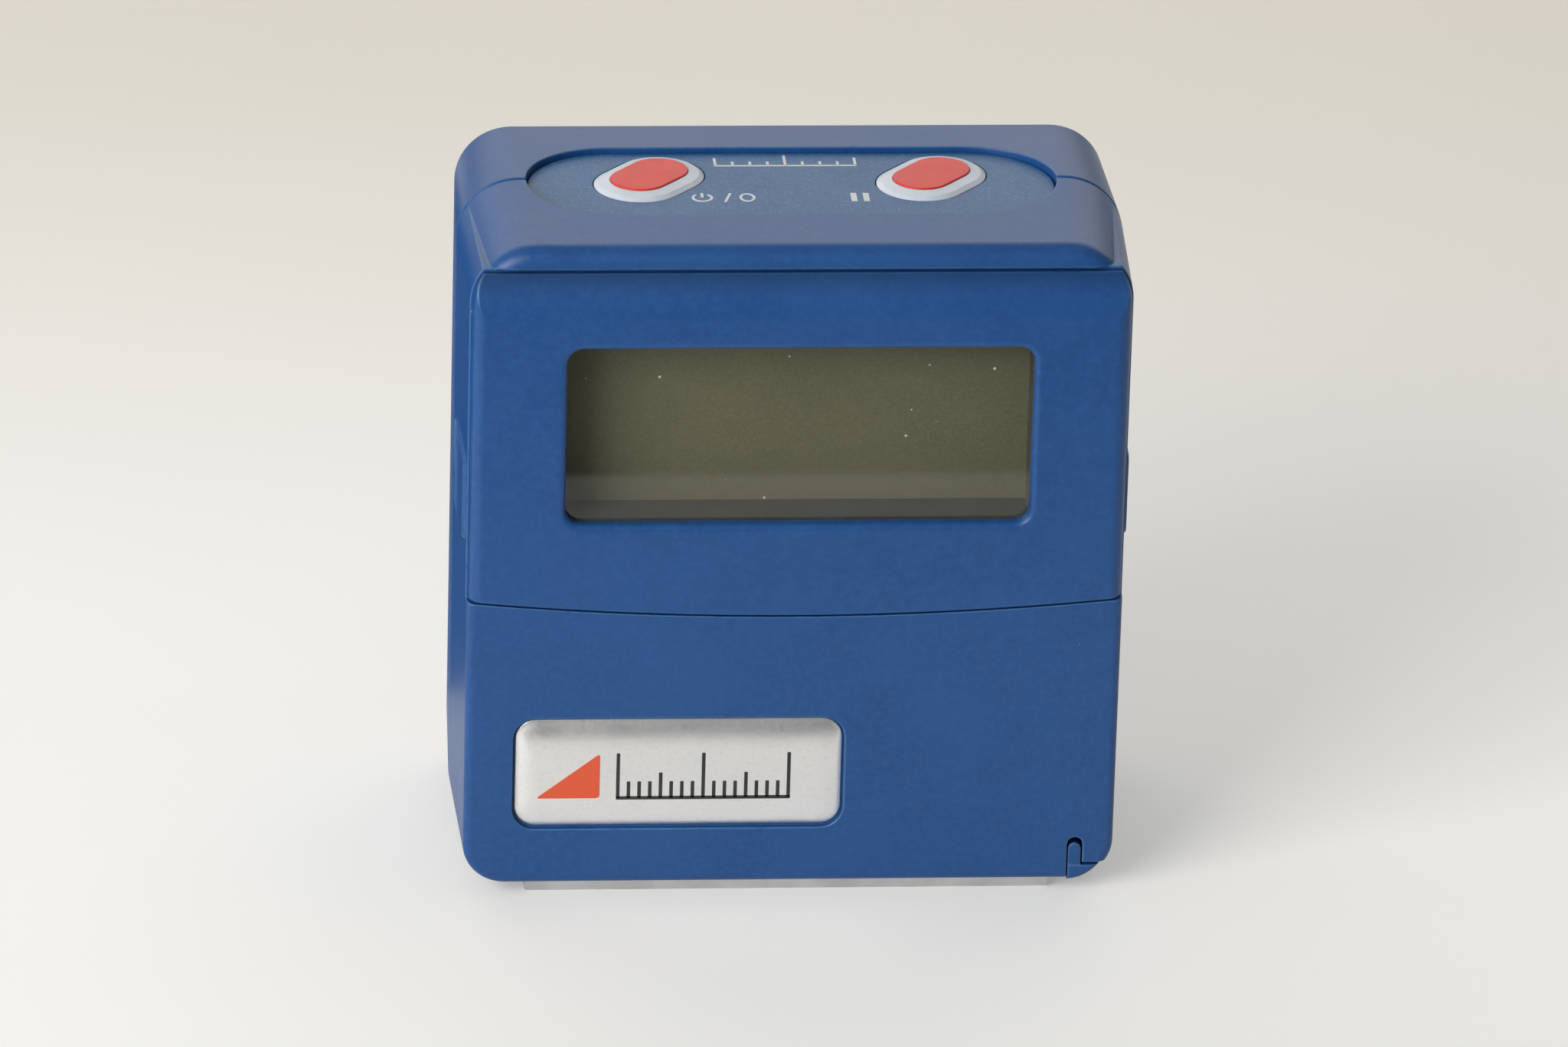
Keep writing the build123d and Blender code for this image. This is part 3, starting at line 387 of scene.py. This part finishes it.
finishes = {
    "case_blue": casePlastic,
    "bezel_blue": bezelPlastic,
    "keypad_blue": keypadFilm(),
    "key_white": keyPlastic("key_white_plastic", keyWhiteLook),
    "key_red": keyPlastic("key_red_plastic", keyRedLook),
    "clear_window": clearWindow(),
    "display_glass": displayGlass(),
    "label_silver": metal("label_satin", labelLook),
    "base_metal": metal("base_milled", barLook),
    "magnet_nickel": metal("magnet_nickel_plate", nickelLook),
    "screw_steel": metal("screw_zinc", steelLook),
    "capacitor_metal": metal("drawn_can", canLook),
    "contact_metal": metal("contact_plate", contactLook),
    "reflector_foil": metal("matt_foil", foilLook),
    "battery_jacket": metal("battery_lacquer", jacketLook),
    "dark_plastic": plainMoulding("black_moulding", blackLook),
    "chip_black": plainMoulding("chip_epoxy", chipLook),
    "contact_rubber": plainMoulding("zebra_rubber", rubberLook),
    "board_green": plainMoulding("board_mask", boardLook),
    "lead_red": plainMoulding("lead_red_cover", leadRedLook),
    "lead_black": plainMoulding("lead_black_cover", leadBlackLook),
}
for row in frame["record"]["subparts"]:
    for holder in cadNodes[row["node"]].material_slots:
        holder.material = finishes[row["material_slot"]]

cornerSteps = 4  # segments in a print's rounded corner
ringSteps = 48  # points round a printed ring
upright = (math.radians(90), 0, 0)  # from lying flat to facing the front


def freshStart():
    if bpy.context.object and bpy.context.object.mode != "OBJECT":
        bpy.ops.object.mode_set(mode="OBJECT")
    bpy.ops.object.select_all(action="DESELECT")


def pickPoints(piece, test):  # selects vertices by their place, from edit mode
    bpy.ops.mesh.select_all(action="DESELECT")
    bpy.ops.object.mode_set(mode="OBJECT")
    for point in piece.data.vertices:
        point.select = test(point.co)
    bpy.ops.object.mode_set(mode="EDIT")


def openFlat(size):  # gives the flat shape just added its size in mm and opens it for editing
    shape = bpy.context.object
    shape.scale = (size[0] * mm, size[1] * mm, 1)
    bpy.ops.object.transform_apply(location=False, rotation=False, scale=True)
    bpy.ops.object.mode_set(mode="EDIT")
    bpy.ops.mesh.select_all(action="SELECT")
    return shape


def flatSheet(size):
    freshStart()
    bpy.ops.mesh.primitive_plane_add(size=1, location=(0, 0, 0))
    return openFlat(size)


def roundCorners(corner, steps=cornerSteps):
    bpy.ops.mesh.select_all(action="SELECT")
    bpy.ops.mesh.bevel(offset=corner * mm, segments=steps, affect="VERTICES")


def thicken(shape, centre, thick):  # pulls the flat print up, closes it and moves it to its centre
    bpy.ops.mesh.select_all(action="SELECT")
    bpy.ops.mesh.extrude_region_move(TRANSFORM_OT_translate={"value": (0, 0, thick * mm)})
    bpy.ops.mesh.select_all(action="SELECT")
    bpy.ops.mesh.normals_make_consistent(inside=False)
    bpy.ops.object.mode_set(mode="OBJECT")
    shape.location = (centre[0] * mm, centre[1] * mm, 0)
    return shape


def printBar(centre, size, corner, thick, lean=0.0):  # a bar with rounded corners, sizes in mm
    bar = flatSheet(size)
    roundCorners(corner)
    if lean:
        pickPoints(bar, lambda co: co.y > 0)
        bpy.ops.transform.translate(value=(lean * mm, 0, 0))
    return thicken(bar, centre, thick)


def printRing(centre, size, width, thick, gap=0.0):  # a ring, open at the top by the gap
    freshStart()
    bpy.ops.mesh.primitive_circle_add(vertices=ringSteps, radius=0.5, fill_type="NGON", location=(0, 0, 0))
    ring = openFlat(size)
    bpy.ops.mesh.inset(thickness=width * mm)
    bpy.ops.mesh.delete(type="FACE")
    if gap:
        pickPoints(ring, lambda co: co.y > 0 and abs(co.x) < gap / 2 * mm)
        bpy.ops.mesh.delete(type="VERT")
    return thicken(ring, centre, thick)


def printWedge(centre, size, corner, thick):  # a right-angled slope, rising to the right
    wedge = flatSheet(size)
    pickPoints(wedge, lambda co: co.y > 0)
    bpy.ops.mesh.merge(type="COLLAPSE")
    pickPoints(wedge, lambda co: co.y > 0)
    bpy.ops.transform.translate(value=(size[0] / 2 * mm, 0, 0))
    roundCorners(corner)
    return thicken(wedge, centre, thick)


def joinPrints(name, prints, move, turn=(0, 0, 0)):  # one printed piece, its place kept in its mesh
    freshStart()
    for piece in prints:
        piece.select_set(True)
    bpy.context.view_layer.objects.active = prints[0]
    bpy.ops.object.transform_apply(location=True, rotation=True, scale=True)
    if len(prints) > 1:
        bpy.ops.object.join()
    whole = bpy.context.object
    whole.name = name
    whole.data.name = name
    whole.rotation_euler = turn
    whole.location = move
    bpy.ops.object.transform_apply(location=True, rotation=True, scale=True)
    return whole


inkLook = {"thin": {"size": 0.35, "detail": 4, "rough": 0.65}, "thin span": (0.52, 0.85),
           "fine": {"size": 0.12}, "rough": 0.5, "fine rough": 0.2, "depth": 0.002}
inks = {
    "print_white": {"ink": (0.62, 0.65, 0.68), "worn_and_highlight": (0.38, 0.44, 0.52)},
    "print_red": {"ink": (0.66, 0.085, 0.030), "worn_and_highlight": (0.58, 0.10, 0.05)},
    "print_black": {"ink": (0.022, 0.022, 0.024), "worn_and_highlight": (0.05, 0.05, 0.05)},
}


def printInk(name):
    look = dict(inkLook, **inks[name])
    finish, place = startFinish(name)
    thin = noise(place, **look["thin"])
    fine = noise(place, **look["fine"])
    paint = thin.between(*look["thin span"]).blend(look["ink"], look["worn_and_highlight"])
    shader = place.node("ShaderNodeBsdfPrincipled", {}, {
        "Base Color": paint, "Roughness": look["rough"] + sway(fine, look["fine rough"]),
        "Normal": bump(fine, look["depth"])})
    return endFinish(finish, shader)


def finishPrint(piece, ink):
    piece.data.materials.clear()
    piece.data.materials.append(ink)
    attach(piece, "housing")


keypadPrints = {
    "thick": 0.03, "line": 0.26, "corner": 0.06,
    "scale centre": (-0.2, 6.35), "scale length": 13.4,
    "ticks": (1.9, 1.0, 1.0, 1.0, 2.5, 1.0, 1.0, 1.0, 1.9),
    "power centre": (-8.5, -1.5), "power size": 2.0, "power gap": 0.9, "stem rise": 0.6, "stem length": 1.0,
    "slash centre": (-6.4, -1.5), "slash length": 2.1, "slash lean": 0.55,
    "zero centre": (-4.3, -1.5), "zero size": (1.5, 2.0),
    "hold centre": (6.2, -1.5), "hold bar": (0.55, 2.0), "hold gap": 1.15,
}


def keypadScale(look):  # a line with ticks standing on it
    thick, line, corner = look["thick"], look["line"], look["corner"]
    baseX, baseY = look["scale centre"]
    bars = [printBar((baseX, baseY), (look["scale length"], line), corner, thick)]
    gaps = len(look["ticks"]) - 1
    pitch = (look["scale length"] - line) / gaps
    for count, tall in enumerate(look["ticks"]):
        tickX = baseX + (count - gaps / 2) * pitch
        bars.append(printBar((tickX, baseY + tall / 2), (line, tall), corner, thick))
    return bars


def keypadPower(look):  # an open ring with a stem, a slash and a zero
    thick, line, corner = look["thick"], look["line"], look["corner"]
    powerX, powerY = look["power centre"]
    across = look["power size"]
    return [
        printRing((powerX, powerY), (across, across), line, thick, gap=look["power gap"]),
        printBar((powerX, powerY + look["stem rise"]), (line, look["stem length"]), corner, thick),
        printBar(look["slash centre"], (line, look["slash length"]), corner, thick, lean=look["slash lean"]),
        printRing(look["zero centre"], look["zero size"], line, thick),
    ]


def keypadHold(look):  # two upright bars
    holdX, holdY = look["hold centre"]
    places = [(holdX + side * look["hold gap"] / 2, holdY) for side in (-1, 1)]
    return [printBar(place, look["hold bar"], look["corner"], look["thick"]) for place in places]


def makeKeypadPrints():
    filmTop = (0, 0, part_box("keypad_panel")[1].z)
    scaleMark = joinPrints("keypad_scale_print", keypadScale(keypadPrints), filmTop)
    powerMark = joinPrints("keypad_power_print", keypadPower(keypadPrints), filmTop)
    holdMark = joinPrints("keypad_hold_print", keypadHold(keypadPrints), filmTop)
    white = printInk("print_white")
    for mark in (scaleMark, powerMark, holdMark):
        finishPrint(mark, white)


labelPillow = {"corner": 2.0, "corner steps": 10, "drop": 0.5, "swell": 2.6, "band": (2.4, 3.6), "rings": 16,
               "lip": 0.16, "lip steps": 4, "smooth": 40}


def pillowRings(look, thick):  # each ring's inset share, its extra inset and its height in mm
    lip, drop = look["lip"], look["drop"]
    rings = []
    for step in range(look["lip steps"]):  # the small round at the rim
        turn = math.radians(90) * step / look["lip steps"]
        rings.append((0.0, lip * (1 - math.cos(turn)), thick - drop - lip * (1 - math.sin(turn))))
    for step in range(look["rings"] + 1):  # the face, swelling to its full height
        share = step / look["rings"]
        rings.append((share, lip, thick - drop * (1 - share) ** look["swell"]))
    return rings


def makeLabelPillow():  # the plate's face as a low cushion, inside the CAD plate
    look = labelPillow
    low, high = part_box("label_plate")
    wide, tall, thick = (size / mm for size in (high.x - low.x, high.z - low.z, high.y - low.y))
    plate = flatSheet((wide, tall))
    roundCorners(look["corner"], look["corner steps"])
    across, along, height = wide / 2, tall / 2, 0.0
    for share, lip, rise in pillowRings(look, thick):
        newAcross = wide / 2 - lip - share * (look["band"][0] - lip)
        newAlong = tall / 2 - lip - share * (look["band"][1] - lip)
        bpy.ops.mesh.extrude_region_move(TRANSFORM_OT_translate={"value": (0, 0, (rise - height) * mm)})
        bpy.ops.transform.resize(value=(newAcross / across, newAlong / along, 1), center_override=(0, 0, 0))
        across, along, height = newAcross, newAlong, rise
    bpy.ops.mesh.select_all(action="SELECT")
    bpy.ops.mesh.normals_make_consistent(inside=False)
    bpy.ops.object.mode_set(mode="OBJECT")
    bpy.ops.object.shade_smooth_by_angle(angle=math.radians(look["smooth"]))
    middle = (low + high) / 2
    plate = joinPrints("label_pillow", [plate], (middle.x, high.y, middle.z), upright)
    finishPrint(plate, finishes["label_silver"])
    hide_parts("label_plate")


labelPrints = {
    "thick": 0.03, "sunk": 0.01, "line": 0.34, "corner": 0.08,
    "wedge centre": (-20.9, 12.6), "wedge size": (6.0, 4.6), "wedge corner": 0.35,
    "first tick": -16.2, "pitch": 1.0, "ticks": 17, "foot": 10.3,
    "tall": {8: 4.6, 4: 2.6, 1: 1.7},  # every eighth tick, every fourth and the rest
}


def makeLabelPrints():
    look = labelPrints
    line, corner, thick, foot = look["line"], look["corner"], look["thick"], look["foot"]
    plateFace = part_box("label_plate")[0].y + look["sunk"] * mm
    wedge = printWedge(look["wedge centre"], look["wedge size"], look["wedge corner"], thick)
    wedge = joinPrints("label_wedge_print", [wedge], (0, plateFace, 0), upright)
    ticks = []
    for count in range(look["ticks"]):
        tall = next(size for every, size in look["tall"].items() if count % every == 0)
        tickX = look["first tick"] + count * look["pitch"]
        ticks.append(printBar((tickX, foot + tall / 2), (line, tall), corner, thick))
    span = (look["ticks"] - 1) * look["pitch"]
    ticks.append(printBar((look["first tick"] + span / 2, foot), (span + line, line), corner, thick))
    ticks = joinPrints("label_scale_print", ticks, (0, plateFace, 0), upright)
    finishPrint(wedge, printInk("print_red"))
    finishPrint(ticks, printInk("print_black"))


makeKeypadPrints()
makeLabelPillow()
makeLabelPrints()
print("printed marks on the keypad and the label")

floorLook = {
    "colour": (0.93, 0.92, 0.893), "shade": 0.985, "tone": {"size": 60, "detail": 3},
    "fibre": {"size": 0.8, "detail": 4, "rough": 0.6}, "rough": 0.75, "fibre rough": 0.1, "shine": 0.1,
    "glow": 0.3, "glow front": (0.96, 0.952, 0.925), "glow back": (0.46, 0.38, 0.25), "glow fade": (40, 230),
}
stage = {
    "floor size": 6.0, "back": 2.2, "wall": 2.4, "curve": 0.6, "curve steps": 24, "reach": 0.001,
    "dark card": {"start": -0.112, "size": (1.6, 1.0), "lift": 0.0004},
    "blue card": {"right": -0.034, "back": 0.030, "size": (0.22, 0.056)},
}
cardLooks = {
    "card_black": {"dark": (0.030, 0.030, 0.032), "light": (0.038, 0.038, 0.040)},
    "card_blue": {"dark": (0.010, 0.050, 0.170), "light": (0.012, 0.056, 0.185)},
}
cardMake = {"tone": {"size": 20}, "rough": 0.9}


def floorPaper():
    look = floorLook
    finish, place = startFinish("floor_paper")
    tone = noise(place, **look["tone"])
    fibre = noise(place, **look["fibre"])
    shaded = [channel * look["shade"] for channel in look["colour"]]
    paint = tone.between(*toneSpan).blend(shaded, look["colour"])
    paper = place.node("ShaderNodeBsdfPrincipled", {}, {
        "Base Color": paint, "Roughness": look["rough"] + sway(fibre, look["fibre rough"]),
        "Specular IOR Level": look["shine"]})
    fade = alongAxis(place, "Y").between(*look["glow fade"])
    pale = place.node("ShaderNodeEmission", {}, {
        "Color": fade.blend(look["glow front"], look["glow back"]), "Strength": 1.0})
    seen = place.node("ShaderNodeLightPath", out="Is Camera Ray")
    whole = place.node("ShaderNodeMixShader", {}, {0: seen * look["glow"], 1: paper, 2: pale})
    return endFinish(finish, whole)


def cardPaper(name):
    look = cardLooks[name]
    finish, place = startFinish(name)
    paint = noise(place, **cardMake["tone"]).between(*toneSpan).blend(look["dark"], look["light"])
    shader = place.node("ShaderNodeBsdfPrincipled", {}, {
        "Base Color": paint, "Roughness": cardMake["rough"], "Specular IOR Level": 0.0})
    return endFinish(finish, shader)


def makeCard(name, place, size, turn, paper):  # a studio card that only reflections see
    freshStart()
    bpy.ops.mesh.primitive_plane_add(size=1, location=place, rotation=turn)
    card = bpy.context.object
    card.name = name
    card.scale = (*size, 1)
    bpy.ops.object.transform_apply(location=True, rotation=True, scale=True)
    card.data.materials.append(paper)
    for ray in ("camera", "diffuse", "transmission", "volume_scatter", "shadow"):
        setattr(card, "visible_" + ray, False)
    return card


def makeFloor():  # a sheet that runs up into a wall at the back
    freshStart()
    middleY = stage["back"] - stage["floor size"] / 2
    bpy.ops.mesh.primitive_plane_add(size=stage["floor size"], location=(0, middleY, 0))
    floor = bpy.context.object
    floor.name = "floor"
    bpy.ops.object.transform_apply(location=True, rotation=True, scale=True)
    bpy.ops.object.mode_set(mode="EDIT")
    backY = stage["back"] - stage["reach"]
    pickPoints(floor, lambda co: co.y > backY)
    bpy.ops.mesh.extrude_region_move(TRANSFORM_OT_translate={"value": (0, 0, stage["wall"])})
    pickPoints(floor, lambda co: co.y > backY and co.z < stage["reach"])
    bpy.ops.mesh.bevel(offset=stage["curve"], segments=stage["curve steps"], affect="EDGES")
    bpy.ops.object.mode_set(mode="OBJECT")
    bpy.ops.object.shade_smooth()
    floor.data.materials.append(floorPaper())
    return floor


def makeStage():
    floor = makeFloor()
    flat = stage["dark card"]
    flatPlace = (0, flat["start"] - flat["size"][1] / 2, flat["lift"])
    dark = makeCard("dark_card", flatPlace, flat["size"], (0, 0, 0), cardPaper("card_black"))
    side = stage["blue card"]
    sidePlace = (side["right"] - side["size"][0] / 2, side["back"], side["size"][1] / 2)
    blue = makeCard("blue_card", sidePlace, side["size"], upright, cardPaper("card_blue"))


makeStage()

lamps = {
    "key_left": {"place": (-0.40, -0.41, 0.30), "size": (0.42, 0.38),
                 "watts": 4.0, "tint": (1.0, 0.99, 0.97)},
    "rear_low": {"place": (0.0, 0.50, 0.36), "size": (1.3, 0.45),
                 "watts": 2.4, "tint": (1.0, 0.97, 0.92)},
}
lampAim = Vector((0, 0, 0.03))
for lampName, lamp in lamps.items():
    freshStart()
    away = Vector(lamp["place"]) - lampAim
    facing = away.to_track_quat("Z", "Y").to_euler()
    bpy.ops.object.light_add(type="AREA", location=lamp["place"], rotation=facing)
    light = bpy.context.object
    light.name = lampName
    light.data.shape = "RECTANGLE"
    light.data.size, light.data.size_y = lamp["size"]
    light.data.energy = lamp["watts"]
    light.data.color = lamp["tint"]
    light.visible_camera = False

sky = {"dim": (0.15, 0.15, 0.16), "bright": (0.32, 0.32, 0.31), "towards": (-0.25, 0.62, 0.74),
       "span": (-0.7, 0.7)}
world = bpy.data.worlds.new("studio_air")
bpy.context.scene.world = world
world.use_nodes = True
world.node_tree.nodes.clear()
air = Wire(world.node_tree)
heading = air.node("ShaderNodeTexCoord", out="Generated")
glow = likeness(heading, sky["towards"]).between(*sky["span"]).blend(sky["dim"], sky["bright"])
background = air.node("ShaderNodeBackground", {}, {"Color": glow, "Strength": 1.0})
air.node("ShaderNodeOutputWorld", {}, {"Surface": background})
print("stage, lamps and world ready")

shot = {  # fitted to the photo
    "place": (-0.08146, -0.96571, 0.4586), "axis": (-0.02524, -0.92084, 0.38912), "roll": 0.3,
    "aim": (0.0, -0.00085, 0.0315), "lens": 258, "sensor": 36, "near": 0.01,
}
freshStart()
axis = Vector(shot["axis"])
level = Quaternion(axis, math.radians(shot["roll"])) @ axis.to_track_quat("Z", "Y")
swing = axis.rotation_difference(Vector(shot["place"]) - Vector(shot["aim"]))  # swings over to the object
bpy.ops.object.camera_add(location=shot["place"], rotation=(swing @ level).to_euler())
camera = bpy.context.object
camera.data.sensor_width = shot["sensor"]
camera.data.lens = shot["lens"]
camera.data.clip_start = shot["near"]
bpy.context.scene.camera = camera
bpy.context.scene.view_settings.view_transform = "Standard"
print("camera set")
